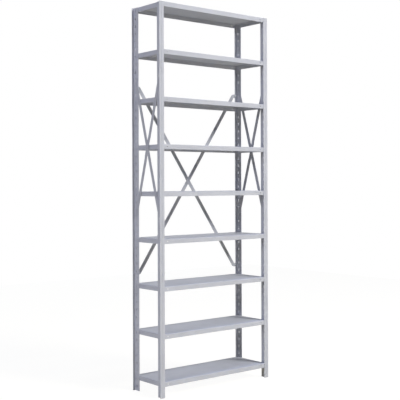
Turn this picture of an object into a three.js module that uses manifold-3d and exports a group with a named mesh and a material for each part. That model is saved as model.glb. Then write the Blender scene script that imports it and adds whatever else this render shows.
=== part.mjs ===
// Open bay of sheet-steel library shelving, used from both faces.
// Four slotted T-section uprights carry folded trays on hooks, and crossed straps brace
// both ends and the rear. Millimetres, +Z up, X along the bay, Y through its depth,
// front face towards -Y, origin on the floor under the middle of the whole object.

import * as THREE from 'three';
import { mergeVertices } from 'three/addons/utils/BufferGeometryUtils.js';
import Module from 'manifold-3d';

const wasm = await Module();
wasm.setup();

// Driving dimensions: the bay
const uprightHeight = 2500;
const bayWidth = 900; // between the centre planes of the left and right uprights
const bayDepth = 300; // over the outer faces of the front and rear flanges
const slotsPerShelf = 6; // slots from one tray to the next
const lowestShelfTop = 90; // a tray's top face is never nearer to the floor than this

// Driving dimensions: uprights, each a T folded from one sheet
const flangeWidth = 36;
const flangeThickness = 2;
const stemDepth = 48; // from the outer face of the flange to the free edge of the stem
const stemThickness = 3;
const seamWidth = 1.6; // where the two halves of the flange fold into the stem
const seamDepth = 1;
const slotHeight = 18;
const slotWidth = 7;
const slotPitch = 50;
const slotInset = 19.5; // from the outer face of the flange to the centre line of the slots
const slotTopOffset = 21; // from the top of the upright to the centre of its first slot
const slotBottomMargin = 20; // solid metal left below the lowest slot

// Driving dimensions: tray shelves
const shelfSheet = 1;
const lipHeight = 30;
const lipHoleDiameter = 6.5;
const lipHoleInset = 45; // from the upright's centre plane to the hole in the lip
const shelfClearance = 0.5; // between a tray and the upright beside it

// Driving dimensions: hooks, pressed out of the end lips
const hookWidth = 5;
const hookTongueHeight = 8;
const hookDrop = 6; // how far the finger reaches below the lower edge of its slot
const hookFingerThickness = 2;

// Driving dimensions: brace straps and their fasteners
const strapWidth = 25;
const strapThickness = 1.5;
const joggleMargin = 5; // how far a raised stretch runs on past the strap that it crosses
const joggleRamp = 30;
const sideBraceHighSlot = 9; // slots counted from the top of the upright, the first being 0
const sideBraceLowSlot = 27; // counted in the same way
const rearBraceDrop = 520; // from the top of the uprights to the upper bolts of the rear brace
const rearBraceHeight = 1215; // between its upper and lower bolts
const rearTabLength = 26; // level end of a rear strap, from its bolt to the bend
const boltDiameter = 6;
const boltHoleDiameter = 7;
const boltHeadFlats = 10;
const boltHeadHeight = 4;
const boltTailLength = 2; // thread left showing past the nut
const nutFlats = 10;
const nutHeight = 5;
const nutBore = 6.6;

// Clearance between seated pieces, and the facets of round shapes
const seatGap = 0.3;
const roundSegments = 10;
const hexSides = 6;
const arcSegments = 5;
const cutMargin = 1; // how far a cutter reaches past the wall it cuts
const jointOverlap = 0.5; // how far two stretches of one piece run into each other

// Places that follow from the driving dimensions
const uprightX = bayWidth / 2;
const stemOuterX = uprightX + stemThickness / 2;
const stemInnerX = uprightX - stemThickness / 2;
const slotY = bayDepth / 2 - slotInset;
const shelfLength = 2 * (stemInnerX - shelfClearance);
const shelfDepth = bayDepth - 2 * (flangeThickness + shelfClearance);
const shelfPitch = slotsPerShelf * slotPitch;
const shelfCount = 1 + Math.floor((uprightHeight - lowestShelfTop) / shelfPitch);
const rearBoltX = stemInnerX - (flangeWidth - stemThickness) / 4;
const rearBraceHighZ = uprightHeight - rearBraceDrop;
const rearBraceLowZ = rearBraceHighZ - rearBraceHeight;
const rearReach = seatGap + strapThickness + seatGap + boltHeadHeight; // bolt heads behind the flanges
const slotCount = 1 + Math.floor(
  (uprightHeight - slotTopOffset - slotHeight / 2 - slotBottomMargin) / slotPitch);

// Height of the centre of a slot, counted from the top of the upright.
function slotZ(index) {
  return uprightHeight - slotTopOffset - index * slotPitch;
}

// Height of a tray's top face; the first tray is level with the tops of the uprights.
function shelfTopZ(index) {
  return uprightHeight - index * shelfPitch;
}

// Finishes
const paint = { color: 0xcdd0d6, roughness: 0.5, metalness: 0.1 };
const zincPlate = { color: 0xb4b7bb, roughness: 0.35, metalness: 0.9 };
const bay = new THREE.Group();

// Turn a closed geometry into a solid that can be joined and cut.
function solidOf(geometry, matrix = new THREE.Matrix4()) {
  const bare = geometry.clone();
  bare.deleteAttribute('normal');
  bare.deleteAttribute('uv');
  bare.applyMatrix4(matrix);
  const merged = mergeVertices(bare, 1e-5);
  return new wasm.Manifold(new wasm.Mesh({
    numProp: 3,
    vertProperties: new Float32Array(merged.attributes.position.array),
    triVerts: new Uint32Array(merged.index.array),
  }));
}

// Turn a solid back into a geometry with flat shading.
function geometryOf(solid) {
  const mesh = solid.getMesh();
  const geometry = new THREE.BufferGeometry();
  geometry.setAttribute('position', new THREE.BufferAttribute(new Float32Array(mesh.vertProperties), 3));
  geometry.setIndex(new THREE.BufferAttribute(new Uint32Array(mesh.triVerts), 1));
  geometry.computeVertexNormals();
  return geometry;
}

// A box given by its size and its centre.
function boxSolid(size, centre) {
  const geometry = new THREE.BoxGeometry(...size);
  return solidOf(geometry, new THREE.Matrix4().makeTranslation(...centre));
}

// A round rod through a centre point, along the axis 'y' or 'z'.
function rodSolid(diameter, length, centre, axis, segments = roundSegments) {
  const geometry = new THREE.CylinderGeometry(diameter / 2, diameter / 2, length, segments);
  const turn = new THREE.Matrix4().makeRotationX(axis === 'z' ? Math.PI / 2 : 0);
  return solidOf(geometry, new THREE.Matrix4().makeTranslation(...centre).multiply(turn));
}

// Add a named mesh to a parent group.
function addPiece(name, solid, finish, parent = bay) {
  const mesh = new THREE.Mesh(geometryOf(solid), new THREE.MeshStandardMaterial(finish));
  mesh.name = name;
  parent.add(mesh);
}

// A group whose local X runs along one direction and whose local Z points out of the bay.
function facingGroup(centre, along, outward) {
  const group = new THREE.Group();
  const x = along.clone().normalize();
  const z = outward.clone().normalize();
  const y = z.clone().cross(x);
  group.quaternion.setFromRotationMatrix(new THREE.Matrix4().makeBasis(x, y, z));
  group.position.copy(centre);
  bay.add(group);
  return group;
}

// T section with its flange on the X axis, facing -Y, and its stem pointing towards +Y.
function uprightSection() {
  const section = new THREE.Shape();
  section.moveTo(-flangeWidth / 2, 0);
  section.lineTo(-seamWidth / 2, 0);
  section.lineTo(0, seamDepth);
  section.lineTo(seamWidth / 2, 0);
  section.lineTo(flangeWidth / 2, 0);
  section.lineTo(flangeWidth / 2, flangeThickness);
  section.lineTo(stemThickness / 2, flangeThickness);
  section.lineTo(stemThickness / 2, stemDepth);
  section.lineTo(-stemThickness / 2, stemDepth);
  section.lineTo(-stemThickness / 2, flangeThickness);
  section.lineTo(-flangeWidth / 2, flangeThickness);
  section.closePath();
  return section;
}

// Upright with a row of slots down its stem and bolt holes through its flange.
function uprightSolid(flangeHoles) {
  const blank = new THREE.ExtrudeGeometry(uprightSection(), { depth: uprightHeight, bevelEnabled: false });
  let solid = solidOf(blank);
  for (let index = 0; index < slotCount; index += 1) {
    const size = [stemThickness + 2 * cutMargin, slotWidth, slotHeight];
    solid = solid.subtract(boxSolid(size, [0, slotInset, slotZ(index)]));
  }
  for (const hole of flangeHoles) {
    const length = flangeThickness + 2 * cutMargin;
    solid = solid.subtract(rodSolid(boltHoleDiameter, length, [hole.x, flangeThickness / 2, hole.z], 'y'));
  }
  return solid;
}

function addUpright(name, side, front) {
  const stand = new THREE.Group();
  stand.position.set(side * uprightX, front ? -bayDepth / 2 : bayDepth / 2, 0);
  stand.rotation.z = front ? 0 : Math.PI;
  bay.add(stand);
  const holeX = side * (uprightX - rearBoltX);
  const holes = front ? [] : [rearBraceLowZ, rearBraceHighZ].map((z) => ({ x: holeX, z }));
  addPiece(name, uprightSolid(holes), paint, stand);
}

// Hook that leaves the end lip, passes through a slot and turns down outside the stem.
function hookSolid(side, y, slotCentreZ) {
  const rootX = shelfLength / 2 - shelfSheet;
  const fingerX = stemOuterX + seatGap;
  const tipX = fingerX + hookFingerThickness;
  const slotFloorZ = slotCentreZ - slotHeight / 2;
  const tongueBottomZ = slotFloorZ + seatGap;
  const tongueTopZ = tongueBottomZ + hookTongueHeight;
  const tongue = boxSolid(
    [tipX - rootX, hookWidth, hookTongueHeight],
    [side * (rootX + tipX) / 2, y, (tongueBottomZ + tongueTopZ) / 2]);
  const fingerBottomZ = slotFloorZ - hookDrop;
  const finger = boxSolid(
    [hookFingerThickness, hookWidth, tongueTopZ - fingerBottomZ],
    [side * (fingerX + tipX) / 2, y, (fingerBottomZ + tongueTopZ) / 2]);
  return tongue.add(finger);
}

// Tray: a panel with its four edges folded down, a hole near each end of the long lips, and four hooks.
function shelfSolid(index) {
  const topZ = shelfTopZ(index);
  const insideHeight = lipHeight - shelfSheet + cutMargin;
  const inside = [shelfLength - 2 * shelfSheet, shelfDepth - 2 * shelfSheet, insideHeight];
  const insideCentreZ = topZ - shelfSheet - insideHeight / 2;
  const holeX = uprightX - lipHoleInset;
  let solid = boxSolid([shelfLength, shelfDepth, lipHeight], [0, 0, topZ - lipHeight / 2]);
  solid = solid.subtract(boxSolid(inside, [0, 0, insideCentreZ]));
  for (const side of [-1, 1]) {
    const drill = rodSolid(
      lipHoleDiameter, shelfDepth + 2 * cutMargin, [side * holeX, 0, topZ - lipHeight / 2], 'y');
    solid = solid.subtract(drill);
    for (const face of [-1, 1]) {
      solid = solid.add(hookSolid(side, face * slotY, slotZ(index * slotsPerShelf)));
    }
  }
  return solid;
}

// Outline of a strap of the given length between the centres of its round ends.
function strapOutline(length) {
  const outline = new THREE.Shape();
  outline.absarc(length / 2, 0, strapWidth / 2, -Math.PI / 2, Math.PI / 2, false);
  outline.absarc(-length / 2, 0, strapWidth / 2, Math.PI / 2, 3 * Math.PI / 2, false);
  outline.closePath();
  return outline;
}

// Length of the raised stretch of a strap with this run and rise, over a partner that slopes the other way.
// The two overlap over a diamond, which is longer the smaller the angle at which they cross.
function raisedLength(run, rise) {
  return strapWidth * Math.max(run / rise, rise / run) + 2 * joggleMargin;
}

// Side view of a strap lying on local Z = 0, lifted over its partner in the middle when asked.
function strapProfile(length, lift, raised) {
  const end = length / 2 + strapWidth;
  const rampStart = raised / 2;
  const rampEnd = rampStart + joggleRamp;
  const line = [[-end, 0], [-rampEnd, 0], [-rampStart, lift], [rampStart, lift], [rampEnd, 0], [end, 0]];
  const under = lift > 0 ? line : [line[0], line[5]];
  const over = under.map(([x, z]) => [x, z + strapThickness]).reverse();
  return new THREE.Shape([...under, ...over].map(([x, z]) => new THREE.Vector2(x, z)));
}

// Flat strap along local X, optionally lifted in the middle, with its round ends cut to outline.
function strapSolid(length, lift, raised) {
  const profile = new THREE.ExtrudeGeometry(
    strapProfile(length, lift, raised), { depth: strapWidth + 2 * cutMargin, bevelEnabled: false });
  const lay = new THREE.Matrix4().makeRotationX(Math.PI / 2);
  lay.setPosition(0, strapWidth / 2 + cutMargin, 0);
  const depth = lift + strapThickness + 2 * cutMargin;
  const outline = new THREE.ExtrudeGeometry(
    strapOutline(length), { depth, bevelEnabled: false, curveSegments: arcSegments });
  const drop = new THREE.Matrix4().makeTranslation(0, 0, -cutMargin);
  return solidOf(profile, lay).intersect(solidOf(outline, drop));
}

// Bolt hole through a strap at a point of its own plane.
function strapHole(x, y) {
  const length = 2 * strapThickness + 4 * cutMargin;
  return rodSolid(boltHoleDiameter, length, [x, y, strapThickness], 'z');
}

// How far the second strap of a pair is lifted to pass over the first.
const strapLift = strapThickness + seatGap;

// Bolt pushed in from local +Z through a strap and the wall that carries it, with its nut inside the bay.
// Local Z = 0 is the outer face of that wall.
function addFastener(boltName, nutName, parent, at, wall) {
  const acrossCorners = 1 / Math.cos(Math.PI / hexSides); // corner to corner, for each unit over the flats
  const headZ = seatGap + strapThickness + seatGap;
  const nutTopZ = -wall - seatGap;
  const nutBottomZ = nutTopZ - nutHeight;
  const tailZ = nutBottomZ - boltTailLength;
  const head = rodSolid(
    boltHeadFlats * acrossCorners, boltHeadHeight, [at.x, at.y, headZ + boltHeadHeight / 2], 'z', hexSides);
  const shankTopZ = headZ + jointOverlap;
  const shank = rodSolid(
    boltDiameter, shankTopZ - tailZ, [at.x, at.y, (shankTopZ + tailZ) / 2], 'z');
  addPiece(boltName, head.add(shank), zincPlate, parent);
  const nut = rodSolid(
    nutFlats * acrossCorners, nutHeight, [at.x, at.y, (nutTopZ + nutBottomZ) / 2], 'z', hexSides);
  const bore = rodSolid(
    nutBore, nutHeight + 2 * cutMargin, [at.x, at.y, (nutTopZ + nutBottomZ) / 2], 'z');
  addPiece(nutName, nut.subtract(bore), zincPlate, parent);
}

// Crossed straps on one end of the bay, bolted through the slots of the front and rear stems.
function addSideBrace(end, side) {
  const lowZ = slotZ(sideBraceLowSlot);
  const highZ = slotZ(sideBraceHighSlot);
  const outward = new THREE.Vector3(side, 0, 0);
  const centre = new THREE.Vector3(side * stemOuterX, 0, (lowZ + highZ) / 2);
  const raised = raisedLength(2 * slotY, highZ - lowZ);
  for (const [way, rise] of [['rising', 1], ['falling', -1]]) {
    const along = new THREE.Vector3(0, 2 * slotY, rise * (highZ - lowZ));
    const length = along.length();
    const group = facingGroup(centre, along, outward);
    const seat = new THREE.Group();
    seat.position.z = seatGap;
    group.add(seat);
    const lift = rise > 0 ? 0 : strapLift;
    const holes = strapHole(-length / 2, 0).add(strapHole(length / 2, 0));
    addPiece(`${end}_brace_strap_${way}`, strapSolid(length, lift, raised).subtract(holes), paint, seat);
    for (const [place, x] of [['front', -length / 2], ['rear', length / 2]]) {
      const level = (place === 'rear') === (rise > 0) ? 'high' : 'low';
      addFastener(
        `${end}_brace_bolt_${place}_${level}`, `${end}_brace_nut_${place}_${level}`,
        group, { x, y: 0 }, stemThickness);
    }
  }
}

// Crossed straps over the rear flanges, each with a level tab at both ends.
function addRearBrace() {
  const outward = new THREE.Vector3(0, 1, 0);
  const centre = new THREE.Vector3(0, bayDepth / 2, (rearBraceLowZ + rearBraceHighZ) / 2);
  const bendX = rearBoltX - rearTabLength;
  const raised = raisedLength(2 * bendX, rearBraceHeight);
  for (const [way, rise] of [['rising', 1], ['falling', -1]]) {
    const along = new THREE.Vector3(2 * bendX, 0, rise * (rearBraceHighZ - rearBraceLowZ));
    const length = along.length();
    const tilt = Math.atan2(along.z, along.x);
    const group = facingGroup(centre, along, outward);
    const seat = new THREE.Group();
    seat.position.z = seatGap;
    group.add(seat);
    const lift = rise > 0 ? 0 : strapLift;
    let strap = strapSolid(length, lift, raised);
    for (const [place, sign] of [['left', -1], ['right', 1]]) {
      const bend = new THREE.Vector2(sign * length / 2, 0);
      const reach = new THREE.Vector2(sign * rearTabLength, 0);
      const bolt = reach.rotateAround(new THREE.Vector2(), tilt).add(bend);
      const middle = bend.clone().add(bolt).multiplyScalar(0.5);
      const turn = new THREE.Matrix4().makeRotationZ(tilt);
      turn.setPosition(middle.x, middle.y, 0);
      const tab = new THREE.ExtrudeGeometry(
        strapOutline(rearTabLength),
        { depth: strapThickness, bevelEnabled: false, curveSegments: arcSegments });
      strap = strap.add(solidOf(tab, turn)).subtract(strapHole(bolt.x, bolt.y));
      const level = (place === 'right') === (rise > 0) ? 'high' : 'low';
      addFastener(
        `rear_brace_bolt_${place}_${level}`, `rear_brace_nut_${place}_${level}`,
        group, bolt, flangeThickness);
    }
    addPiece(`rear_brace_strap_${way}`, strap, paint, seat);
  }
}

// The assembly
addUpright('upright_front_left', -1, true);
addUpright('upright_front_right', 1, true);
addUpright('upright_rear_left', -1, false);
addUpright('upright_rear_right', 1, false);
for (let index = 0; index < shelfCount; index += 1) {
  addPiece(`shelf_${index + 1}`, shelfSolid(index), paint);
}
addSideBrace('left', -1);
addSideBrace('right', 1);
addRearBrace();
bay.position.y = -rearReach / 2;

export default bay;
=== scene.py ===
# %% [markdown]
# # An open bay of sheet-steel library shelving
# Every large piece of this shelving starts as a flat blank of steel. The factory punches the slots and
# holes while the blank is flat, and only then folds it. This lesson works in the same order: a blank is a
# flat grid in numpy, holes are punched in the grid, and a fold is a formula that carries the whole array
# of grid points to its place in space. The frame that was modelled before gives the place of every piece.

# %% Load the frame
import math

import bpy
import numpy as np
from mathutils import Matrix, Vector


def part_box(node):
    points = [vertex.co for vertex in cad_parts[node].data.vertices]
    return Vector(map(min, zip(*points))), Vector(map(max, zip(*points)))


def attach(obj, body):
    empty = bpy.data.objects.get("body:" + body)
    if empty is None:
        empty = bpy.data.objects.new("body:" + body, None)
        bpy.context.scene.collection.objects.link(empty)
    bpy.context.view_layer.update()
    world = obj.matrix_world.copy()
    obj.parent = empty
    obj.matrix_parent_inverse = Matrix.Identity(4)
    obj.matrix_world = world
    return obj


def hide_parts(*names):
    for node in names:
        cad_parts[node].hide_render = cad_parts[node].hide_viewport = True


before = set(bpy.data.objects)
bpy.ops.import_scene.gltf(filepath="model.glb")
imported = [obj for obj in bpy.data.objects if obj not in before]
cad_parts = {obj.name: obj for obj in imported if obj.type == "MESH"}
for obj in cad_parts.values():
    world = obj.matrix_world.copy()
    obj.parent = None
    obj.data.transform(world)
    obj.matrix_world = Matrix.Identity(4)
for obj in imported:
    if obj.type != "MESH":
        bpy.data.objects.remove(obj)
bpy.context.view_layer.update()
MM = 0.001

# %% [markdown]
# ## The camera
# The picture was taken with a level camera, so upright edges stay parallel in the image. A level camera
# with a vertical shift keeps that, where a tilted one would make the uprights lean together. The bay
# stands with its front left upright nearest to the lens.

# %% Place the camera
IMAGE_PIXELS = 400
SENSOR_WIDTH_MM = 36.0
FOCAL_PIXELS = 843.2
HORIZON_PIXEL = 184.2
CAMERA_PLACE = (-3.629, -4.396, 1.3465)
CAMERA_AZIMUTH = math.radians(39.417)
CAMERA_ROLL = math.radians(0.21)

camera_data = bpy.data.cameras.new("camera")
camera_data.sensor_width = SENSOR_WIDTH_MM
camera_data.lens = FOCAL_PIXELS * SENSOR_WIDTH_MM / IMAGE_PIXELS
camera_data.shift_y = (HORIZON_PIXEL - IMAGE_PIXELS / 2) / IMAGE_PIXELS
camera = bpy.data.objects.new("camera", camera_data)
camera.location = CAMERA_PLACE
camera.rotation_euler = (math.pi / 2, CAMERA_ROLL, -CAMERA_AZIMUTH)
bpy.context.collection.objects.link(camera)
bpy.context.scene.camera = camera
print("camera lens in mm:", round(camera_data.lens, 2))

# %% [markdown]
# ## Rays that are seen
# A studio looks white because its paper is far brighter than the object on it. More light on everything
# would get there too, but it would bleach the grey paint. In Blender a ray can be asked what it is for, so
# the rays that the eye follows may meet plain white while those that carry light meet something else. The
# Standard view shows colours as they are set, without the curve of a film.

# %% Tell seen rays from light
bpy.context.scene.view_settings.view_transform = "Standard"


def new_material(name):
    """An empty node material: its tree, its node list and its link list."""
    material = bpy.data.materials.new(name)
    material.use_nodes = True
    tree = material.node_tree
    tree.nodes.clear()
    return material, tree.nodes, tree.links.new


def seen_rays(nodes, link):
    """1 for rays that the eye follows (camera, mirror and glass rays), 0 for rays that carry light."""
    path = nodes.new("ShaderNodeLightPath")
    total = None
    for ray in ("Is Camera Ray", "Is Glossy Ray", "Is Transmission Ray"):
        if total is None:
            total = path.outputs[ray]
            continue
        larger = nodes.new("ShaderNodeMath")
        larger.operation = "MAXIMUM"
        link(total, larger.inputs[0])
        link(path.outputs[ray], larger.inputs[1])
        total = larger.outputs[0]
    return total


print("view:", bpy.context.scene.view_settings.view_transform)

# %% [markdown]
# ## The paper floor
# The bay stands on a sheet of warm white paper. White paper could be lit until it looks white, but then the
# bay would be far too light. Here the rays that the eye follows get nearly plain white from the paper, and
# the others its real colour. So it throws warm light back under the trays and still takes the soft shadow
# of the feet.

# %% Lay the floor
# Half the side of the paper in metres, its colour, the share of plain white that the eye gets, and how
# bright that white is
FLOOR_HALF = 6.0
FLOOR_COLOUR = (0.92, 0.85, 0.65)
FLOOR_SHOWN_WHITE = 0.86
FLOOR_GLOW = 1.10


def studio_floor_material():
    """Pale diffuse ground, blended for the eye with plain white so that only a faint shadow shows."""
    material, nodes, link = new_material("studio_floor")
    diffuse = nodes.new("ShaderNodeBsdfDiffuse")
    diffuse.inputs["Color"].default_value = (*FLOOR_COLOUR, 1)
    glow = nodes.new("ShaderNodeEmission")
    glow.inputs["Strength"].default_value = FLOOR_GLOW
    share = nodes.new("ShaderNodeMath")
    share.operation = "MULTIPLY"
    share.inputs[1].default_value = FLOOR_SHOWN_WHITE
    link(seen_rays(nodes, link), share.inputs[0])
    blend = nodes.new("ShaderNodeMixShader")
    link(share.outputs[0], blend.inputs[0])
    link(diffuse.outputs[0], blend.inputs[1])
    link(glow.outputs[0], blend.inputs[2])
    output = nodes.new("ShaderNodeOutputMaterial")
    link(blend.outputs[0], output.inputs["Surface"])
    return material


floor_mesh = bpy.data.meshes.new("studio_floor")
floor_corners = FLOOR_HALF * np.array([[-1, -1, 0], [1, -1, 0], [1, 1, 0], [-1, 1, 0]])
floor_mesh.from_pydata(floor_corners.tolist(), [], [(0, 1, 2, 3)])
floor_mesh.materials.append(studio_floor_material())
studio_floor = bpy.data.objects.new("studio_floor", floor_mesh)
bpy.context.collection.objects.link(studio_floor)
print("floor half side in metres:", FLOOR_HALF)

# %% [markdown]
# ## The white surroundings
# Beyond the paper there is nothing but white. A white world would light the bay evenly from all sides and
# take its shading away. This world is white only for the rays that the eye follows, so the background and
# any mirror image in the metal are white, while the light on the bay comes from the lamps alone.

# %% Build the world
world = bpy.data.worlds.new("studio_world")
world.use_nodes = True
bpy.context.scene.world = world
world_nodes = world.node_tree.nodes
world_link = world.node_tree.links.new
world_nodes.clear()
world_colour = world_nodes.new("ShaderNodeMix")
world_colour.data_type = "RGBA"
unlit, plain_white = world_colour.inputs[6], world_colour.inputs[7]
unlit.default_value = (0, 0, 0, 1)
plain_white.default_value = (1, 1, 1, 1)
world_link(seen_rays(world_nodes, world_link), world_colour.inputs[0])
background = world_nodes.new("ShaderNodeBackground")
world_link(world_colour.outputs[2], background.inputs["Color"])
world_output = world_nodes.new("ShaderNodeOutputWorld")
world_link(background.outputs[0], world_output.inputs["Surface"])
print("world:", world.name)

# %% [markdown]
# ## The lights
# The front faces of the bay are neutral and lightest; its ends and tray tops are darker and bluish. So a
# neutral key light stands in front, and weaker, bluish lights stand beside the left end, overhead and
# behind. They are square area lights, because these give the soft edges of studio light, and each is placed
# by two angles, like a lamp on a stand that is walked round the bay.

# %% Place the lights
BAY_MIDDLE = np.array([0.0, 0.0, 1.25])
LIGHT_DISTANCE = 11.0
LIGHT_SIZE = 3.0
# Degrees round from the front towards the right end, degrees up, watts, and colour
LIGHTS = {
    "key_light": (20, 34, 985, (1.0, 1.0, 1.0)),
    "end_light": (-82, 15, 450, (0.82, 0.84, 1.0)),
    "top_light": (0, 80, 240, (0.36, 0.50, 1.0)),
    "back_light": (165, 12, 130, (0.50, 0.66, 1.0)),
}


def soft_light(name, degrees_round, degrees_up, watts, colour):
    """A square area light on a sphere about the bay's middle, with its face turned to that middle."""
    around = math.radians(degrees_round)
    up = math.radians(degrees_up)
    outward = np.array([math.cos(up) * math.sin(around), -math.cos(up) * math.cos(around), math.sin(up)])
    data = bpy.data.lights.new(name, "AREA")
    data.size = LIGHT_SIZE
    data.energy = watts
    data.color = colour
    lamp = bpy.data.objects.new(name, data)
    lamp.location = BAY_MIDDLE + LIGHT_DISTANCE * outward
    lamp.rotation_euler = (math.pi / 2 - up, 0, around)
    bpy.context.collection.objects.link(lamp)


for light_name, settings in LIGHTS.items():
    soft_light(light_name, *settings)
print("soft lights:", list(LIGHTS))

# %% [markdown]
# ## Patterns for the finishes
# Painted and plated steel is never quite even. Image textures could show that, but each piece would need a
# layout for them. Noise that is worked out from Object coordinates keeps its true size on every piece. The
# helpers here make the noise, change its range, blend two colours by it, and find the edges that get worn.

# %% Make pattern helpers
def noise(nodes, link, coordinates, scale, detail=2.0, stretch=None):
    """Noise of a given number of cells per metre; stretch multiplies it along X, Y and Z."""
    texture = nodes.new("ShaderNodeTexNoise")
    texture.inputs["Scale"].default_value = scale
    texture.inputs["Detail"].default_value = detail
    if stretch is None:
        link(coordinates, texture.inputs["Vector"])
    else:
        mapping = nodes.new("ShaderNodeMapping")
        mapping.inputs["Scale"].default_value = stretch
        link(coordinates, mapping.inputs["Vector"])
        link(mapping.outputs[0], texture.inputs["Vector"])
    return texture.outputs["Fac"]


def ranged(nodes, link, value, low, high, to_low, to_high):
    """Map a value from the range low..high to another range, held at its ends."""
    node = nodes.new("ShaderNodeMapRange")
    node.inputs["From Min"].default_value = low
    node.inputs["From Max"].default_value = high
    node.inputs["To Min"].default_value = to_low
    node.inputs["To Max"].default_value = to_high
    link(value, node.inputs["Value"])
    return node.outputs[0]


def mixed_colour(nodes, link, factor, first, second):
    """Blend two colours, each a tuple or a socket, by a factor socket."""
    node = nodes.new("ShaderNodeMix")
    node.data_type = "RGBA"
    link(factor, node.inputs[0])
    for socket, colour in ((node.inputs[6], first), (node.inputs[7], second)):
        if isinstance(colour, tuple):
            socket.default_value = (*colour, 1)
        else:
            link(colour, socket)
    return node.outputs[2]


def edge_mask(nodes, link, radius):
    """Near 1 on folds and edges: where a rounded normal leaves the true one."""
    rounded = nodes.new("ShaderNodeBevel")
    rounded.samples = 4
    rounded.inputs["Radius"].default_value = radius
    geometry = nodes.new("ShaderNodeNewGeometry")
    dot = nodes.new("ShaderNodeVectorMath")
    dot.operation = "DOT_PRODUCT"
    link(rounded.outputs[0], dot.inputs[0])
    link(geometry.outputs["Normal"], dot.inputs[1])
    return ranged(nodes, link, dot.outputs["Value"], 1.0, 0.8, 0.0, 1.0)


print("pattern helpers:", [helper.__name__ for helper in (noise, ranged, mixed_colour, edge_mask)])

# %% [markdown]
# ## Powder coat
# The sheet is powder coated, and its grey is not quite even: it is faintly clouded, it has long rub marks
# from books and hands, and the paint is thin in small spots along folds and edges. Each of these is a noise
# that blends in a darker grey. They are laid over each other from large to small, as wear comes.

# %% Colour the paint
# Cells per metre of each pattern, the range of its noise that shows, and the most it covers
CLOUD_CELLS = 6.0
CLOUD_RANGE = (0.35, 0.65)
RUB_CELLS = 14.0
RUB_RANGE = (0.62, 0.74)
RUB_COVER = 0.22
WORN_CELLS = 55.0
WORN_RANGE = (0.5, 0.68)
WORN_COVER = 0.6
# How far wear reaches from an edge, and how dark clouds and worn spots are
EDGE_RADIUS = 1.2 * MM
CLOUD_SHADE = 0.93
WORN_SHADE = 0.72


def paint_colour(nodes, link, coordinates, colour, streak):
    """The colour of the coat, clouded, rubbed along its streak and worn on its edges, as a socket."""
    darker = tuple(CLOUD_SHADE * part for part in colour)
    worn = tuple(WORN_SHADE * part for part in colour)
    cloud = noise(nodes, link, coordinates, CLOUD_CELLS, 4.0)
    cloud = ranged(nodes, link, cloud, *CLOUD_RANGE, 0.0, 1.0)
    body = mixed_colour(nodes, link, cloud, colour, darker)
    marks = noise(nodes, link, coordinates, RUB_CELLS, 3.0, streak)
    marks = ranged(nodes, link, marks, *RUB_RANGE, 0.0, RUB_COVER)
    body = mixed_colour(nodes, link, marks, body, darker)
    patches = noise(nodes, link, coordinates, WORN_CELLS, 3.0)
    patches = ranged(nodes, link, patches, *WORN_RANGE, 0.0, WORN_COVER)
    wear = nodes.new("ShaderNodeMath")
    wear.operation = "MULTIPLY"
    link(edge_mask(nodes, link, EDGE_RADIUS), wear.inputs[0])
    link(patches, wear.inputs[1])
    return mixed_colour(nodes, link, wear.outputs[0], body, worn)


print("paint patterns in cells per metre:", CLOUD_CELLS, RUB_CELLS, WORN_CELLS)

# %% [markdown]
# ## The skin of the coat
# Baked powder has a faint pebbled skin and a slightly uneven, dull gloss. The pebbles are far too small to
# model, so a bump tilts the light instead. One function mixes the coat for uprights, trays and straps,
# since only the colour and the way of the rub marks differ. The darker grey of the straps is painted shade.

# %% Mix the powder coats
# Cells per metre of the pebbles, and how deep and how strong they are
PEBBLE_CELLS = 700.0
PEBBLE_DEPTH = 0.2 * MM
PEBBLE_STRENGTH = 0.22
# Cells per metre of the gloss, the range of its noise and the roughness it gives; share of mirror light
GLOSS_CELLS = 30.0
GLOSS_RANGE = (0.3, 0.7)
PAINT_ROUGHNESS = (0.56, 0.68)
PAINT_SPECULAR = 0.1


def powder_coat(name, colour, streak):
    """Light grey powder coat; streak stretches its rub marks along the piece's long way."""
    material, nodes, link = new_material(name)
    coordinates = nodes.new("ShaderNodeTexCoord").outputs["Object"]
    body = paint_colour(nodes, link, coordinates, colour, streak)
    pebble = noise(nodes, link, coordinates, PEBBLE_CELLS, 2.0)
    bump = nodes.new("ShaderNodeBump")
    bump.inputs["Strength"].default_value = PEBBLE_STRENGTH
    bump.inputs["Distance"].default_value = PEBBLE_DEPTH
    link(pebble, bump.inputs["Height"])
    gloss = noise(nodes, link, coordinates, GLOSS_CELLS, 3.0)
    gloss = ranged(nodes, link, gloss, *GLOSS_RANGE, *PAINT_ROUGHNESS)
    shader = nodes.new("ShaderNodeBsdfPrincipled")
    shader.inputs["Specular IOR Level"].default_value = PAINT_SPECULAR
    link(body, shader.inputs["Base Color"])
    link(gloss, shader.inputs["Roughness"])
    link(bump.outputs[0], shader.inputs["Normal"])
    output = nodes.new("ShaderNodeOutputMaterial")
    link(shader.outputs[0], output.inputs["Surface"])
    return material


LIGHT_GREY = (0.598, 0.611, 0.664)
# Straps have the same paint as uprights and trays; their darker grey is painted shade for the trays' shadow
SHADED_STRAP_GREY = (0.545, 0.557, 0.60)
upright_coat = powder_coat("upright_coat", LIGHT_GREY, (1.0, 1.0, 0.06))
tray_coat = powder_coat("tray_coat", LIGHT_GREY, (0.08, 1.0, 1.0))
shaded_strap_coat = powder_coat("shaded_strap_coat", SHADED_STRAP_GREY, (1.0, 1.0, 1.0))
print("powder coats:", [coat.name for coat in (upright_coat, tray_coat, shaded_strap_coat)])

# %% [markdown]
# ## Zinc plate
# Bolts and nuts are bright zinc: metal with a fine grain and duller spots. A plain grey would look like
# plastic, so the surface is fully metallic and its roughness follows the spots.

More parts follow.
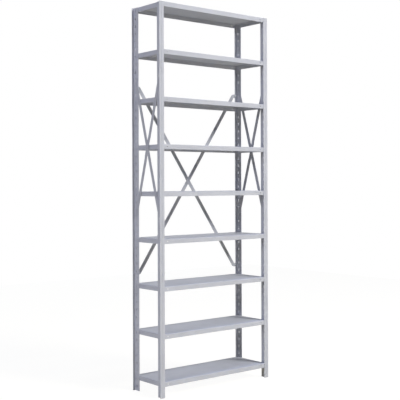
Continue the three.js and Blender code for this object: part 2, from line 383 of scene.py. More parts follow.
# %% Plate the bolts
# Cells per metre of the dull spots and the range of their noise; cells, depth and strength of the grain
SPOT_CELLS = 260.0
SPOT_RANGE = (0.4, 0.62)
GRAIN_CELLS = 1500.0
GRAIN_DEPTH = 0.1 * MM
GRAIN_STRENGTH = 0.15
ZINC_ROUGHNESS = (0.26, 0.46)
ZINC_BRIGHT = (0.66, 0.67, 0.68)
ZINC_DULL = (0.50, 0.51, 0.53)


def zinc_plate(name):
    """Bright zinc: metal with a fine grain and dull, slightly darker spots."""
    material, nodes, link = new_material(name)
    coordinates = nodes.new("ShaderNodeTexCoord").outputs["Object"]
    spots = noise(nodes, link, coordinates, SPOT_CELLS, 4.0)
    spots = ranged(nodes, link, spots, *SPOT_RANGE, 0.0, 1.0)
    body = mixed_colour(nodes, link, spots, ZINC_BRIGHT, ZINC_DULL)
    gloss = ranged(nodes, link, spots, 0.0, 1.0, *ZINC_ROUGHNESS)
    grain = noise(nodes, link, coordinates, GRAIN_CELLS, 2.0)
    bump = nodes.new("ShaderNodeBump")
    bump.inputs["Strength"].default_value = GRAIN_STRENGTH
    bump.inputs["Distance"].default_value = GRAIN_DEPTH
    link(grain, bump.inputs["Height"])
    shader = nodes.new("ShaderNodeBsdfPrincipled")
    shader.inputs["Metallic"].default_value = 1.0
    link(body, shader.inputs["Base Color"])
    link(gloss, shader.inputs["Roughness"])
    link(bump.outputs[0], shader.inputs["Normal"])
    output = nodes.new("ShaderNodeOutputMaterial")
    link(shader.outputs[0], output.inputs["Surface"])
    return material


bolt_zinc = zinc_plate("bolt_zinc")
print("plating:", bolt_zinc.name)

# %% [markdown]
# ## Outlines of the holes
# A punch leaves a round hole for a bolt and a tall slot with small round corners for a hook. An outline is
# kept as a function that draws the border of a block of grid points in to the edge of the hole, rather than
# as a list of points. So the same outline fits a border with any number of points.

# %% Draw the outlines of holes
def round_hole(radius):
    """Outline of a round hole: each border point is drawn in along its own direction to the radius."""
    def outline(offset):
        return offset * (radius / np.linalg.norm(offset, axis=1, keepdims=True))
    return outline


def slot_hole(half_width, half_height, corner):
    """Outline of an upright slot: the border is scaled to the slot and its corners drawn in to an arc."""
    def outline(offset):
        half = np.array([half_width, half_height])
        point = half * offset / np.abs(offset).max(axis=0)
        at_corner = np.all(np.isclose(np.abs(point), half), axis=1)
        drawn_in = np.sign(point) * (half - corner * (1 - math.sqrt(0.5)))
        return np.where(at_corner[:, None], drawn_in, point)
    return outline


sample_corner = np.array([[5 * MM, 5 * MM]])
sample_edge = round_hole(3 * MM)(sample_corner)[0]
print("a corner at 5, 5 drawn in to a 3 mm hole, in mm:", np.round(sample_edge / MM, 2))

# %% [markdown]
# ## Punching a flat blank
# A blank is a grid of lines in two directions. Punching a hole takes out a block of grid cells and lays a
# ring of faces between the border of the block and the outline of the hole. A boolean cut would also
# work, but the ring keeps every face a clean four-sided one. A small sample shows what it makes.

# %% Punch holes in a blank
def block_border(columns, rows):
    """Grid indices round a block of cells, once round from its low corner, as (column, row) pairs."""
    c0, c1 = columns
    r0, r1 = rows
    across = np.arange(c0, c1)
    along = np.arange(r0, r1)
    low = np.stack([across, np.full_like(across, r0)], 1)
    right = np.stack([np.full_like(along, c1), along], 1)
    high = np.stack([across[::-1] + 1, np.full_like(across, r1)], 1)
    left = np.stack([np.full_like(along, c0), along[::-1] + 1], 1)
    return np.concatenate([low, right, high, left])


def punched_blank(u_lines, v_lines, holes, keep=None):
    """Flat blank on grid lines with holes (u, v, half block in u, in v, outline); keep picks its cells."""
    u, v = np.meshgrid(u_lines, v_lines, indexing="ij")
    points = np.stack([u.ravel(), v.ravel()], 1)
    row_count = len(v_lines)
    column, row = np.meshgrid(np.arange(len(u_lines) - 1), np.arange(row_count - 1), indexing="ij")
    solid = np.ones(column.shape, bool)
    if keep is not None:
        middle_u = (u_lines[:-1] + u_lines[1:]) / 2
        middle_v = (v_lines[:-1] + v_lines[1:]) / 2
        solid &= keep(*np.meshgrid(middle_u, middle_v, indexing="ij"))
    extra_points = []
    extra_faces = []
    next_point = len(points)
    for hole_u, hole_v, half_u, half_v, outline in holes:
        columns = np.abs(u_lines[:, None] - (hole_u + half_u * np.array([-1, 1]))).argmin(axis=0)
        rows = np.abs(v_lines[:, None] - (hole_v + half_v * np.array([-1, 1]))).argmin(axis=0)
        solid[columns[0]:columns[1], rows[0]:rows[1]] = False
        border = block_border(columns, rows)
        border_index = border[:, 0] * row_count + border[:, 1]
        ring = outline(points[border_index] - (hole_u, hole_v)) + (hole_u, hole_v)
        ring_index = next_point + np.arange(len(ring))
        next_point += len(ring)
        extra_points.append(ring)
        extra_faces.append(np.stack([
            border_index, np.roll(border_index, -1), np.roll(ring_index, -1), ring_index], 1))
    first = (column * row_count + row)[solid]
    cells = np.stack([first, first + row_count, first + row_count + 1, first + 1], 1)
    points = np.concatenate([points, *extra_points])
    faces = np.concatenate([cells, *extra_faces])
    used, faces = np.unique(faces, return_inverse=True)
    return points[used], faces.reshape(-1, 4)


sample_lines = np.linspace(-10 * MM, 10 * MM, 5)
sample_hole = (0, 0, 5 * MM, 5 * MM, round_hole(3 * MM))
sample_points, sample_faces = punched_blank(sample_lines, sample_lines, [sample_hole])
print("sample blank, 20 mm square: points", len(sample_points), "faces", len(sample_faces))

# %% [markdown]
# ## From blank to sheet
# After folding, the sheet gets its thickness: each point moves half a thickness to both sides, and wherever
# a face has no neighbour a rim closes it. The Solidify modifier could do the same, but here the closed mesh
# is plain to see in the arrays. Each piece then rides its body and stands for its frame node.

# %% Make sheets and pieces
def thick_sheet(place, normal, faces, thickness):
    """Closed sheet: points half a thickness to both sides of a surface, its faces twice, and a rim."""
    count = len(place)
    points = np.concatenate([place + normal * thickness / 2, place - normal * thickness / 2])
    edges = np.stack([faces, np.roll(faces, -1, axis=1)], 2).reshape(-1, 2)
    key = np.sort(edges, axis=1)
    _, first, uses = np.unique(key, axis=0, return_index=True, return_counts=True)
    rim = edges[first[uses == 1]]
    rim_faces = np.stack([rim[:, 1], rim[:, 0], rim[:, 0] + count, rim[:, 1] + count], 1)
    return points, np.concatenate([faces, faces[:, ::-1] + count, rim_faces])


SHARP_ANGLE = math.radians(35)


def add_piece(name, points, faces, material, body, node):
    """A mesh object from arrays, with its round stretches shaded smooth, that stands for a frame node."""
    mesh = bpy.data.meshes.new(name)
    mesh.from_pydata(points.tolist(), [], [tuple(face) for face in faces.tolist()])
    mesh.polygons.foreach_set("use_smooth", np.ones(len(mesh.polygons), bool))
    mesh.set_sharp_from_angle(angle=SHARP_ANGLE)
    mesh.materials.append(material)
    piece = bpy.data.objects.new(name, mesh)
    bpy.context.collection.objects.link(piece)
    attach(piece, body)
    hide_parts(node)
    return piece


sample_place = np.column_stack([sample_points, np.zeros(len(sample_points))])
sample_normal = np.tile([0.0, 0.0, 1.0], (len(sample_points), 1))
_, sample_sheet = thick_sheet(sample_place, sample_normal, sample_faces, 1 * MM)
print("sample sheet, closed by its rim: faces", len(sample_sheet))

# %% [markdown]
# ## Following a fold
# A folded strip, seen from its end, is a path of straight stretches and arcs. Walking along that path gives
# the place and the direction of any point from its distance along the flat strip. A lattice or a chain of
# bends would need a step for each fold; the path takes all points at once, and lengths stay true.

# %% Walk along a path
ROUND_OFF = 1e-9


def walk(distance, stretches, start, heading):
    """Follow a path of (length, turn) stretches: straight where turn is 0, otherwise an arc through turn.

    Returns the place and the heading angle at each distance from the start, as whole arrays.
    """
    place = np.zeros((len(distance), 2))
    angle = np.zeros(len(distance))
    at = np.array(start, float)
    begun = 0.0
    last = len(stretches) - 1
    for index, (length, turn) in enumerate(stretches):
        ended = distance > begun + length + ROUND_OFF
        inside = (distance >= begun - ROUND_OFF) & (~ended | (index == last))
        run = distance[inside] - begun
        angle[inside] = heading + turn * run / length
        if turn == 0:
            place[inside] = at + run[:, None] * (math.cos(heading), math.sin(heading))
            at = at + length * np.array((math.cos(heading), math.sin(heading)))
        else:
            radius = length / turn
            turned = heading + turn * run / length
            centre = at + radius * np.array((-math.sin(heading), math.cos(heading)))
            place[inside] = centre + radius * np.stack([np.sin(turned), -np.cos(turned)], 1)
            heading = heading + turn
            at = centre + radius * np.array((math.sin(heading), -math.cos(heading)))
        begun += length
    return place, angle


sample_path = [(10 * MM, 0), (5 * MM * math.pi / 2, math.pi / 2), (10 * MM, 0)]
sample_end, _ = walk(np.array([sum(length for length, _ in sample_path)]), sample_path, (0, 0), 0.0)
print("a 5 mm bend between two 10 mm stretches ends at, in mm:", np.round(sample_end[0] / MM, 3))

# %% [markdown]
# ## The strip of an upright
# An upright is one strip of steel folded three times: in from the face to form the stem, back on itself
# round a tight hem, and out again along the face. That gives a T whose face shows the seam where both
# halves meet. A plain extruded T would look solid at its end; this one shows its two layers.

# %% Lay out the strip
UPRIGHT_SHEET = 1.45 * MM
LAYER_GAP = 0.1 * MM
SEAM_BEND = 1.3 * MM
BEND_STEPS = 5
SLOT_PITCH = 50 * MM
SLOT_INSET = 19.5 * MM
SLOT_TOP_OFFSET = 21 * MM
SLOT_BOTTOM_MARGIN = 20 * MM
SLOT_HALF = (3.5 * MM, 9 * MM)
SLOT_CORNER = 1.2 * MM
SLOT_BLOCK = (6.5 * MM, 14 * MM)
# Grid lines through a slot's block, as shares of half the block across and up
SLOT_LINES_ACROSS = np.array([-1, -0.62, 0, 0.62, 1])
SLOT_LINES_UP = np.array([-1, -0.86, -0.4, 0, 0.4, 0.86, 1])
HOLE_BLOCK = 6 * MM
# Grid lines through a bolt hole's block, as shares of half the block
HOLE_LINES = np.linspace(-1, 1, 7)


def upright_strip(width, depth):
    """Stretches of the folded strip, and the distance along it of the slots in each layer of the stem."""
    layer = (LAYER_GAP + UPRIGHT_SHEET) / 2
    quarter = SEAM_BEND * math.pi / 2
    flat = width / 2 - layer - SEAM_BEND
    stem_start = UPRIGHT_SHEET / 2 + SEAM_BEND
    stem = depth - UPRIGHT_SHEET / 2 - layer - stem_start
    stretches = [(flat, 0), (quarter, math.pi / 2), (stem, 0), (layer * math.pi, -math.pi),
                 (stem, 0), (quarter, math.pi / 2), (flat, 0)]
    total = sum(length for length, _ in stretches)
    slot_at = flat + quarter + SLOT_INSET - stem_start
    return stretches, total, (slot_at, total - slot_at)


def strip_lines(stretches, slot_places, hole_places):
    """Grid lines across the strip: the ends of every stretch, steps round each bend, slots and holes."""
    ends = np.cumsum([0] + [length for length, _ in stretches])
    lines = [ends]
    for begun, (length, turn) in zip(ends, stretches):
        if turn != 0:
            lines.append(begun + length * np.linspace(0, 1, BEND_STEPS + 1))
    for place in slot_places:
        lines.append(place + SLOT_BLOCK[0] * SLOT_LINES_ACROSS)
    for place in hole_places:
        lines.append(place + HOLE_BLOCK * HOLE_LINES)
    return np.unique(np.round(np.concatenate(lines), 7))


def slot_heights(height):
    """Heights of the slot centres, from the top of the upright downwards."""
    room = height - SLOT_TOP_OFFSET - SLOT_HALF[1] - SLOT_BOTTOM_MARGIN
    return height - SLOT_TOP_OFFSET - SLOT_PITCH * np.arange(1 + math.floor(room / SLOT_PITCH))


front_low, front_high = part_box("upright_front_left")
_, strip_width, _ = upright_strip(front_high[0] - front_low[0], front_high[1] - front_low[1])
print("width of the flat strip in mm:", round(strip_width / MM, 1))
print("slots in each upright:", len(slot_heights(front_high[2])))

# %% [markdown]
# ## Uprights
# The slots are punched through both layers of the stem while the strip is flat, so they line up when it is
# folded. The rear uprights also get the holes for the bolts of the rear brace. Every upright is cut to the
# box of its frame node, so its height, width and depth need not be typed in again.

# %% Punch and fold the uprights
BOLT_HOLE_RADIUS = 3.5 * MM
TALL_HOLE_BLOCK = 8 * MM


def upright(node, bolts):
    """Punch a strip, fold it to a T and stand it where its node is; rear uprights face the other way."""
    low, high = (np.array(corner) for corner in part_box(node))
    width, depth, height = high - low
    turned = -1 if low[1] > 0 else 1
    centre_x = (low[0] + high[0]) / 2
    face_y = low[1] if turned > 0 else high[1]
    stretches, total, slot_places = upright_strip(width, depth)
    holes = []
    v_lines = [np.array([0, height])]
    for z in slot_heights(height):
        v_lines.append(z + SLOT_BLOCK[1] * SLOT_LINES_UP)
        for place in slot_places:
            holes.append((place, z, *SLOT_BLOCK, slot_hole(*SLOT_HALF, SLOT_CORNER)))
    hole_places = []
    for bolt_x, bolt_z in bolts:
        across = turned * (bolt_x - centre_x)
        if abs(across) < width / 2 and turned < 0:
            place = width / 2 + across if across < 0 else total - width / 2 + across
            hole_places.append(place)
            v_lines.append(bolt_z + TALL_HOLE_BLOCK * HOLE_LINES)
            holes.append((place, bolt_z, HOLE_BLOCK, TALL_HOLE_BLOCK, round_hole(BOLT_HOLE_RADIUS)))
    u_lines = strip_lines(stretches, slot_places, hole_places)
    v_lines = np.unique(np.round(np.concatenate(v_lines), 6))
    blank, faces = punched_blank(u_lines, v_lines, holes)
    section, angle = walk(blank[:, 0], stretches, (-width / 2, UPRIGHT_SHEET / 2), 0.0)
    place = np.stack([centre_x + turned * section[:, 0], face_y + turned * section[:, 1], blank[:, 1]], 1)
    normal = np.stack([-turned * np.sin(angle), turned * np.cos(angle), np.zeros(len(angle))], 1)
    points, faces = thick_sheet(place, normal, faces[:, ::-1], UPRIGHT_SHEET)
    return add_piece(node + "_sheet", points, faces, upright_coat, "frame", node)


def middle(node):
    """Centre of a frame node's box."""
    low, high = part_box(node)
    return (np.array(low) + np.array(high)) / 2


rear_bolts = [middle(name)[[0, 2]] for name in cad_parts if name.startswith("rear_brace_bolt")]
for upright_node in [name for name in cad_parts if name.startswith("upright_")]:
    made = upright(upright_node, rear_bolts)
    print(made.name, "faces:", len(made.data.polygons))

# %% [markdown]
# ## The lip and the hook of a tray
# Each edge of a tray goes round a small bend and hangs down as a lip. The fold is one formula, applied to
# the distance past the bend line, so it serves all four sides. A hook is a tongue pressed out of the end
# lip, with a finger that drops behind the edge of a slot: an outline carried across its width.

# %% Fold a lip and cut a hook
TRAY_BEND = 1.5 * MM


def fold_flap(distance, edge):
    """Fold the stretch past a bend line: flat before it, then a quarter circle, then straight down.

    Returns how far out a point lies, how far it has dropped, and the angle it has turned through.
    """
    past = np.maximum(np.abs(distance) - edge, 0)
    turn = np.minimum(past / TRAY_BEND, math.pi / 2)
    straight = np.maximum(past - TRAY_BEND * math.pi / 2, 0)
    out = np.minimum(np.abs(distance), edge) + TRAY_BEND * np.sin(turn)
    drop = TRAY_BEND * (1 - np.cos(turn)) + straight
    return np.sign(distance) * out, drop, turn


HOOK_WIDTH = 5 * MM
HOOK_TONGUE = 8 * MM
HOOK_FINGER = 2 * MM
HOOK_SHOULDER = 2 * MM


def hook(side, root_x, tip_x, y, tongue_top, finger_bottom):
    """A hook as a plate: an L-shaped outline with a rounded shoulder, carried across the hook's width."""
    finger_x = tip_x - HOOK_FINGER
    tongue_bottom = tongue_top - HOOK_TONGUE
    arc = np.linspace(math.pi / 2, 0, 5)
    shoulder = np.stack([
        tip_x + HOOK_SHOULDER * (np.cos(arc) - 1), tongue_top + HOOK_SHOULDER * (np.sin(arc) - 1)], 1)
    outline = np.concatenate([
        [[root_x, tongue_bottom], [root_x, tongue_top]], shoulder,
        [[tip_x, finger_bottom], [finger_x, finger_bottom], [finger_x, tongue_bottom]]])
    count = len(outline)
    layers = [np.stack([side * outline[:, 0], np.full(count, y + half), outline[:, 1]], 1)
              for half in (-HOOK_WIDTH / 2, HOOK_WIDTH / 2)]
    index = np.arange(count)
    after = np.roll(index, -1)
    wall = np.stack([after, after + count, index + count, index], 1)
    inner = count - 1
    cap = np.array([[0, 1, 2, inner], [2, 3, 4, inner], [4, 5, 6, inner], [6, 7, 8, inner]])
    faces = np.concatenate([wall, cap[:, ::-1], cap + count])
    return np.concatenate(layers), faces[:, ::side]


_, sample_drop, _ = fold_flap(np.array([10 * MM]), 0.0)
print("a 10 mm flap hangs down, in mm:", round(sample_drop[0] / MM, 2))

# %% [markdown]
# ## The blank of a tray
# A tray is a cross-shaped blank: the panel with four flaps. Because the corners are cut out of the blank,
# no point is folded twice, and the narrow open corner that is left is what a real folded tray shows. A box
# with its inside cut out would have closed corners. Two round holes are punched in each long flap.

# %% Punch the blank of a tray
TRAY_SHEET = 1.0 * MM
TRAY_LIP = 30 * MM
FOLD_SIZE = TRAY_SHEET / 2 + TRAY_BEND
LIP_HOLE_RADIUS = 3.25 * MM
LIP_HOLE_BLOCK = 7 * MM


def tray_blank(edge_u, edge_v, hole_u):
    """Flat cross of a tray: the panel out to its bend lines, four flaps, and holes in the long flaps."""
    bend = np.linspace(0, TRAY_BEND * math.pi / 2, BEND_STEPS + 1)
    flap = bend[-1] + TRAY_LIP - FOLD_SIZE
    hole_v = edge_v + bend[-1] + TRAY_LIP / 2 - FOLD_SIZE
    block = LIP_HOLE_BLOCK * np.linspace(-1, 1, 9)
    u_half = np.concatenate([
        np.linspace(0, hole_u - 2 * LIP_HOLE_BLOCK, 9), hole_u + block, edge_u + bend, [edge_u + flap]])
    v_half = np.concatenate([np.linspace(0, edge_v, 5), edge_v + bend, hole_v + block, [edge_v + flap]])
    u_lines = np.unique(np.round(np.concatenate([-u_half, u_half]), 7))
    v_lines = np.unique(np.round(np.concatenate([-v_half, v_half]), 7))
    holes = [(su * hole_u, sv * hole_v, LIP_HOLE_BLOCK, LIP_HOLE_BLOCK, round_hole(LIP_HOLE_RADIUS))
             for su in (-1, 1) for sv in (-1, 1)]

    def keep(u, v):
        return (np.abs(u) < edge_u) | (np.abs(v) < edge_v)

    return punched_blank(u_lines, v_lines, holes, keep)


sample_blank, _ = tray_blank(440 * MM, 140 * MM, 400 * MM)
sample_width, sample_depth = np.ptp(sample_blank, axis=0)
print("a sample panel of 880 by 280 mm has a blank, in mm, of:",
      round(sample_width / MM, 1), "by", round(sample_depth / MM, 1))

# %% [markdown]
# ## Tray shelves
# Folding all four flaps of the blank at once makes the tray. Four hooks stand out of its end lips at the
# height of the slots that carry it. They are closed plates of their own inside the same mesh, which is
# simpler than cutting tongues out of the lips and looks the same. Each tray rides its own body, because it
# can be lifted.

# %% Fold and hang the trays
TRAY_CLEARANCE = 0.5 * MM
STEM_HALF = 1.5 * MM
LIP_HOLE_INSET = 45 * MM
SEAT_GAP = 0.3 * MM


def joined(*parts):
    """Several point and face arrays as one."""
    points = []
    faces = []
    start = 0
    for part_points, part_faces in parts:
        points.append(part_points)
        faces.append(part_faces + start)
        start += len(part_points)
    return np.concatenate(points), np.concatenate(faces)


def tray(node, upright_x, hook_reach):
    """Fold the flaps of a tray's blank, add its hooks and hang it at its node."""
    low, high = (np.array(corner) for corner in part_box(node))
    centre_y = (low[1] + high[1]) / 2
    top = high[2]
    half_length = upright_x - STEM_HALF - TRAY_CLEARANCE
    half_depth = (high[1] - low[1]) / 2
    edge_u = half_length - FOLD_SIZE
    edge_v = half_depth - FOLD_SIZE
    blank, faces = tray_blank(edge_u, edge_v, upright_x - LIP_HOLE_INSET)
    x, drop_x, turn_x = fold_flap(blank[:, 0], edge_u)
    y, drop_y, turn_y = fold_flap(blank[:, 1], edge_v)
    place = np.stack([x, centre_y + y, top - TRAY_SHEET / 2 - drop_x - drop_y], 1)
    normal = np.stack([
        np.sign(x) * np.sin(turn_x), np.sign(y) * np.sin(turn_y), np.cos(turn_x) * np.cos(turn_y)], 1)
    parts = [thick_sheet(place, normal, faces, TRAY_SHEET)]
    tongue_top = top - SLOT_TOP_OFFSET - SLOT_HALF[1] + SEAT_GAP + HOOK_TONGUE
    for side in (-1, 1):
        for face in (-1, 1):
            hook_y = centre_y + face * hook_reach
            parts.append(hook(side, half_length, high[0], hook_y, tongue_top, low[2]))
    points, faces = joined(*parts)
    return add_piece(node + "_tray", points, faces, tray_coat, node, node)


_, rear_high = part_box("upright_rear_left")
slot_reach = (rear_high[1] - front_low[1]) / 2 - SLOT_INSET
stem_x = abs(middle("upright_front_left")[0])
for shelf_node in [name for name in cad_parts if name.startswith("shelf_")]:
    made = tray(shelf_node, stem_x, slot_reach)
    print(made.name, "faces:", len(made.data.polygons))

# %% [markdown]
# ## The line of a strap
# A strap runs straight from bolt to bolt. The rear straps turn level at both ends, round a bend in their
# own plane. One strap of each pair is set over the other, so it steps out where they cross; two straps
# through each other would be simpler but could not be real. The line is a path to walk along, as before.

# %% Lay the line of a strap
STRAP_WIDTH = 25 * MM
JOGGLE_MARGIN = 5 * MM
JOGGLE_RAMP = 30 * MM
REAR_BEND = 16 * MM


def raised_half(run, rise):
    """Half the raised stretch: half the diamond in which two straps of this slope overlap, and a margin."""
    return STRAP_WIDTH / 2 * max(run / rise, rise / run) + JOGGLE_MARGIN


def step_out(from_middle, raised, lift):
    """Height of a strap over its plane: a smooth step up to the crossing and down again after it."""
    share = np.clip((raised + JOGGLE_RAMP - np.abs(from_middle)) / JOGGLE_RAMP, 0, 1)
    return lift * share * share * (3 - 2 * share)


def strap_path(first, last, tab):
    """Stretches from tip to tip of a strap between two bolts, and the heading at its start."""
    end = STRAP_WIDTH / 2
    run, rise = last - first
    if tab == 0:
        return [(math.hypot(run, rise) + 2 * end, 0)], math.atan2(rise, run)
    tilt = math.atan2(rise, run - 2 * tab)
    corner = REAR_BEND * math.tan(abs(tilt) / 2)
    slope = math.hypot(run - 2 * tab, rise)
    arc = REAR_BEND * abs(tilt)
    level = (end + tab - corner, 0)
    return [level, (arc, tilt), (slope - 2 * corner, 0), (arc, -tilt), level], 0.0


sample_bolts = np.array([[0, 0], [250 * MM, 900 * MM]])
sample_line, _ = strap_path(*sample_bolts, 0)
print("a strap over 250 mm across and 900 mm up has a length, in mm, of:", round(sample_line[0][0] / MM, 1))

# %% [markdown]
# ## The bar of a strap
# The bar is cut from flat stock, with round ends and a bolt hole near each tip. Its surface is the centre
# line with a width: one parameter runs along the line, the other from edge to edge, and the width narrows
# to the tip along a circle. A curve with a bevel would sweep the same bar, but without the holes.

# %% Cut a strap
TIP_ANGLE = 0.12
HOLE_COLLAR = 1.3 * BOLT_HOLE_RADIUS


def flat_strap(first, last, tab, lift):
    """A strap in its own plane: points of the plane, their height over it, and the faces between them."""
    end = STRAP_WIDTH / 2
    stretches, heading = strap_path(first, last, tab)
    total = sum(length for length, _ in stretches)
    ends = np.cumsum([0] + [length for length, _ in stretches])
    bends = [begun + length * np.linspace(0, 1, 7)
             for begun, (length, turn) in zip(ends, stretches) if turn]
    tip = end * (1 - np.cos(np.linspace(TIP_ANGLE, math.pi / 2, 8)))
    run, rise = np.abs(last - first)
    raised = raised_half(run - 2 * tab, rise)
    ramp = total / 2 - raised - JOGGLE_RAMP * np.linspace(0, 1, 7)
    half = np.concatenate([tip, end + HOLE_BLOCK * HOLE_LINES, *bends, ramp, [total / 2]])
    half = half[half <= total / 2 + ROUND_OFF]
    u_lines = np.unique(np.round(np.concatenate([half, total - half]), 6))
    v_lines = end * np.linspace(-1, 1, 11)
    bolt_places = (end, total - end)
    holes = [(place, 0.0, HOLE_BLOCK, HOLE_BLOCK, round_hole(BOLT_HOLE_RADIUS)) for place in bolt_places]
    blank, faces = punched_blank(u_lines, v_lines, holes)
    distance, across = blank.T
    from_tip = np.minimum(distance, total - distance)
    short = np.clip(end - from_tip, 0, end)
    narrowing = np.sqrt(1 - (short / end) ** 2)
    from_bolt = np.hypot(from_tip - end, across)
    across = np.where(from_bolt < HOLE_COLLAR, across, across * narrowing)
    start = first - end * np.array([math.cos(heading), math.sin(heading)])
    line, angle = walk(distance, stretches, start, heading)
    plane = line + across[:, None] * np.stack([-np.sin(angle), np.cos(angle)], 1)
    return plane, step_out(distance - total / 2, raised, lift), faces


_, _, sample_faces = flat_strap(*sample_bolts, 0, 0.0)
print("the same strap as a bar: faces", len(sample_faces))

# %% [markdown]
# ## Brace straps
# Two straps cross on each end of the bay and two on its rear. All are the same bar, so one function sets
# them: it reads the places of the two bolts from the frame, lays the bar between them, and turns it into
# the plane of the end or the rear.

# %% Set the straps
STRAP_SHEET = 1.5 * MM
REAR_TAB = 26 * MM


def strap(node, first_bolt, last_bolt, axis, outward, tab):
    """Set a strap on its carrier; axis is the level direction of its plane, outward the way it faces."""
    low, high = (np.array(corner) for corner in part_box(node))
    facing = 1 - axis
    lift = high[facing] - low[facing] - STRAP_SHEET
    seat = low[facing] if outward > 0 else high[facing]
    first = middle(first_bolt)[[axis, 2]]
    last = middle(last_bolt)[[axis, 2]]
    plane, height, faces = flat_strap(first, last, tab, lift)
    place = np.zeros((len(plane), 3))
    place[:, axis] = plane[:, 0]
    place[:, 2] = plane[:, 1]
    place[:, facing] = seat + outward * (STRAP_SHEET / 2 + height)
    normal = np.zeros_like(place)
    normal[:, facing] = outward
    order = outward if axis == 1 else -outward
    points, faces = thick_sheet(place, normal, faces[:, ::order], STRAP_SHEET)
    # The straps take the darker coat, whose grey is painted shade.
    return add_piece(node + "_bar", points, faces, shaded_strap_coat, "frame", node)


STRAP_ENDS = {"rising": ("low", "high"), "falling": ("high", "low")}
for way, (first_level, last_level) in STRAP_ENDS.items():
    for end_name, outward in (("left", -1), ("right", 1)):
        first_bolt = f"{end_name}_brace_bolt_front_{first_level}"
        last_bolt = f"{end_name}_brace_bolt_rear_{last_level}"
        made = strap(f"{end_name}_brace_strap_{way}", first_bolt, last_bolt, 1, outward, 0)
        print(made.name, "faces:", len(made.data.polygons))
    first_bolt = f"rear_brace_bolt_left_{first_level}"
    last_bolt = f"rear_brace_bolt_right_{last_level}"
    made = strap(f"rear_brace_strap_{way}", first_bolt, last_bolt, 0, 1, REAR_TAB)
    print(made.name, "faces:", len(made.data.polygons))

# %% [markdown]
# ## Turned pieces
# A turned piece is one surface of rings: each ring has a height and a radius for every direction. A screw
# modifier could make the thread, but then the head would be another object. As rings, head and thread are
# one surface, and the thread is a ridge that climbs one pitch in each turn.

# %% Stack rings
RING_POINTS = 36
THREAD_PITCH = 1 * MM
ring_angle = np.linspace(0, 2 * math.pi, RING_POINTS, endpoint=False)


def thread_rings(start, stop, radius, depth):
    """Rings of a screw thread from one height to another: the radius dips in step with height and angle."""
    heights = np.linspace(start, stop, 1 + round(abs(stop - start) / (THREAD_PITCH / 4)))
    phase = (heights[:, None] / THREAD_PITCH - ring_angle / (2 * math.pi)) % 1
    return np.broadcast_to(heights[:, None], phase.shape), radius - depth * np.abs(2 * phase - 1)


def even_rings(*pairs):
    """Rings given as (height, radius) pairs, each a number or one value for every direction."""
    shape = (RING_POINTS,)
    heights = np.stack([np.broadcast_to(height, shape) for height, _ in pairs])
    radii = np.stack([np.broadcast_to(radius, shape) for _, radius in pairs])
    return heights, radii


def ring_surface(rings, closed):
    """Points and faces of stacked rings; the ends are capped, or the last ring joins the first."""
    heights = np.concatenate([part[0] for part in rings])
    radii = np.concatenate([part[1] for part in rings])
    points = np.stack([radii * np.cos(ring_angle), radii * np.sin(ring_angle), heights], 2).reshape(-1, 3)
    count = len(heights)
    bands = count if closed else count - 1
    row, column = np.meshgrid(np.arange(bands), np.arange(RING_POINTS), indexing="ij")
    below = (row + 1) % count
    beside = (column + 1) % RING_POINTS
    corners = [row * RING_POINTS + column, below * RING_POINTS + column,
               below * RING_POINTS + beside, row * RING_POINTS + beside]
    faces = np.stack([corner.ravel() for corner in corners], 1)
    if closed:
        return points, faces
    step = np.arange(RING_POINTS // 2 - 1)
    cap = np.stack([step, step + 1, RING_POINTS - 2 - step, RING_POINTS - 1 - step], 1)
    return points, np.concatenate([faces, cap, cap[:, ::-1] + (count - 1) * RING_POINTS])


print("points in each ring:", RING_POINTS)

# %% [markdown]
# ## Bolts and nuts
# A bolt goes through each end of every strap, with its nut behind the sheet. The hexagon is a radius too,
# the distance to its flat divided by the cosine of the angle from it, and the chamfer lowers the corners in
# step with that radius. Bolts and nuts are made along Z and then turned to face out of the bay.

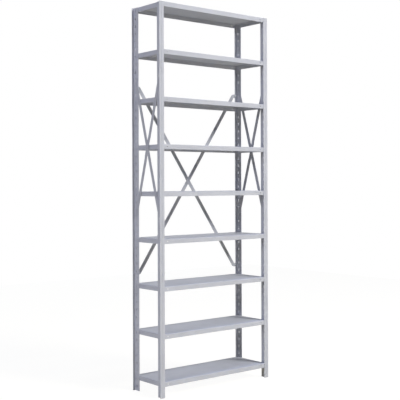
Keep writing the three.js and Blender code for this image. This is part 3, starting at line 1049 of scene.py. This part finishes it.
# %% Turn the bolts and nuts
HEX_FLAT = 5 * MM
HEAD_HEIGHT = 4 * MM
CHAMFER_RADIUS = 4.7 * MM
CHAMFER_SLOPE = math.tan(math.radians(30))
THREAD_RADIUS = 3 * MM
THREAD_DEPTH = 0.45 * MM
THREAD_END = 2.3 * MM
NUT_BORE = 3.2 * MM
NUT_THREAD_DEPTH = 0.1 * MM
sector = math.pi / 3
hex_radius = HEX_FLAT / np.cos((ring_angle + sector / 2) % sector - sector / 2)
hex_drop = np.maximum(hex_radius - CHAMFER_RADIUS, 0) * CHAMFER_SLOPE


def bolt_rings(top, bottom):
    """Rings of a bolt from the middle of its head down to the end of its thread."""
    under = top - HEAD_HEIGHT
    head = even_rings(
        (top, CHAMFER_RADIUS), (top - hex_drop, hex_radius), (under, hex_radius), (under, THREAD_RADIUS))
    thread = thread_rings(under - THREAD_PITCH / 2, bottom + THREAD_PITCH / 2, THREAD_RADIUS, THREAD_DEPTH)
    return [head, thread, even_rings((bottom, THREAD_END))]


def nut_rings(top, bottom):
    """Rings of a nut: down its outside with both ends chamfered, and back up its threaded bore."""
    outside = even_rings(
        (top, NUT_BORE), (top, CHAMFER_RADIUS), (top - hex_drop, hex_radius),
        (bottom + hex_drop, hex_radius), (bottom, CHAMFER_RADIUS), (bottom, NUT_BORE))
    bore = thread_rings(bottom + THREAD_PITCH / 2, top - THREAD_PITCH / 2, NUT_BORE, NUT_THREAD_DEPTH)
    return [outside, bore]


def set_along(points, centre, axis, outward):
    """Turn a piece made along Z so that its Z points outward along an axis, and move it to its place."""
    first = np.zeros(3)
    first[2] = 1.0
    third = np.zeros(3)
    third[axis] = outward
    second = np.cross(third, first)
    return centre + points @ np.stack([first, second, third])


def fastener(node):
    """A bolt or a nut at its node, pointing out of the bay."""
    low, high = (np.array(corner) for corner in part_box(node))
    axis = 1 if node.startswith("rear") else 0
    outward = -1 if node.startswith("left") else 1
    half = (high[axis] - low[axis]) / 2
    is_bolt = "_bolt_" in node
    rings = bolt_rings(half, -half) if is_bolt else nut_rings(half, -half)
    points, faces = ring_surface(rings, closed=not is_bolt)
    points = set_along(points, (low + high) / 2, axis, outward)
    return add_piece(node + "_turned", points, faces, bolt_zinc, "frame", node)


fasteners = [fastener(name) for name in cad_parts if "_bolt_" in name or "_nut_" in name]
print("bolts and nuts:", len(fasteners), "faces each:", len(fasteners[0].data.polygons))
